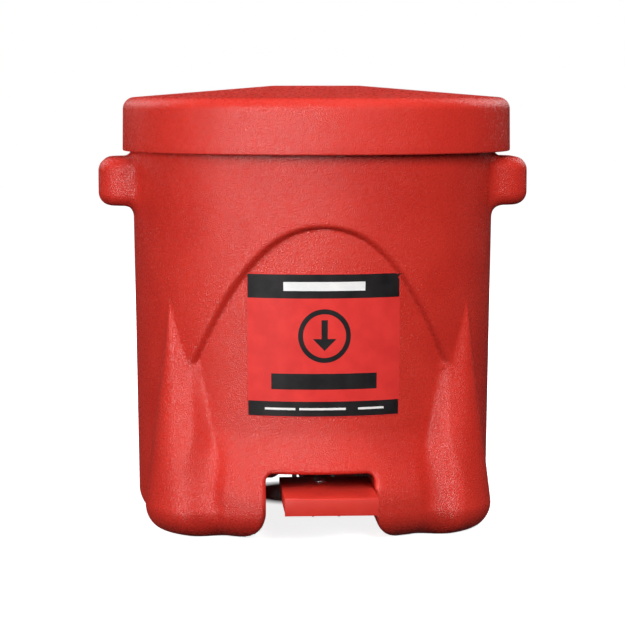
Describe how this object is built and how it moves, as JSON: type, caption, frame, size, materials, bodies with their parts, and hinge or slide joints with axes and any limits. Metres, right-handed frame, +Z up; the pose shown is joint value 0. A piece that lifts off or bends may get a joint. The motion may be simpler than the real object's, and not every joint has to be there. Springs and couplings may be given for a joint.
{
  "type": "foot pedal waste can",
  "caption": "Round moulded waste can with a hinged domed lid, opened by a foot pedal through a lever and a push rod at the back.",
  "frame": {"origin": "centre of the object's footprint on the floor, on the axis of the can", "axes": "+Z up, -Y towards the front with the pedal and the label, +X to the right as seen from the front"},
  "size_m": [0.4554, 0.484, 0.457],
  "materials": {
    "body_plastic": "red polyethylene with a fine moulded grain",
    "lid_plastic": "red polyethylene with a fine moulded grain",
    "label": "printed vinyl, red field between black bands",
    "pedal_paint": "red powder coat",
    "zinc_steel": "zinc plated",
    "black_nylon": "moulded nylon"
  },
  "bodies": {
    "body": {"body_shell": "body_plastic", "front_label": "label", "hinge_rod": "zinc_steel", "hinge_cap_left": "black_nylon", "hinge_cap_right": "black_nylon", "rod_guide_lower": "black_nylon", "lower_guide_screw_left": "zinc_steel", "lower_guide_screw_right": "zinc_steel", "rod_guide_upper": "black_nylon", "upper_guide_screw_left": "zinc_steel", "upper_guide_screw_right": "zinc_steel", "pivot_bracket_left": "zinc_steel", "pivot_bracket_right": "zinc_steel", "pivot_screw_left_front": "zinc_steel", "pivot_screw_left_rear": "zinc_steel", "pivot_screw_right_front": "zinc_steel", "pivot_screw_right_rear": "zinc_steel", "pivot_pin": "zinc_steel", "pivot_pin_clip": "zinc_steel"},
    "lid": {"lid_shell": "lid_plastic", "lid_lift_bracket": "zinc_steel", "lift_bracket_screw_left": "zinc_steel", "lift_bracket_screw_right": "zinc_steel", "upper_rod_pin": "zinc_steel", "upper_rod_pin_clip": "zinc_steel"},
    "rod": {"push_rod": "zinc_steel"},
    "pedal": {"pedal_lever": "zinc_steel", "foot_pedal": "pedal_paint", "pedal_bolt_front": "zinc_steel", "pedal_nut_front": "zinc_steel", "pedal_bolt_rear": "zinc_steel", "pedal_nut_rear": "zinc_steel", "lower_rod_pin": "zinc_steel", "lower_rod_pin_clip": "zinc_steel"}
  },
  "joints": [
    {"name": "lid_hinge", "type": "hinge", "parent": "body", "child": "lid", "pos_m": [0, 0.23, 0.376], "axis": [-1, 0, 0], "range_deg": [0, 60]},
    {"name": "rod_slide", "type": "slide", "parent": "body", "child": "rod", "axis": [0, 0, 1], "range_m": [0, 0.0261]},
    {"name": "pedal_pivot", "type": "hinge", "parent": "body", "child": "pedal", "pos_m": [0, -0.01, 0.0432], "axis": [1, 0, 0], "range_deg": [0, 6.95]}
  ],
  "couplings": [
    {"joint": "rod_slide", "follows": "lid_hinge", "m_per_rad": 0.024828},
    {"joint": "pedal_pivot", "follows": "lid_hinge", "ratio": 0.11504}
  ]
}
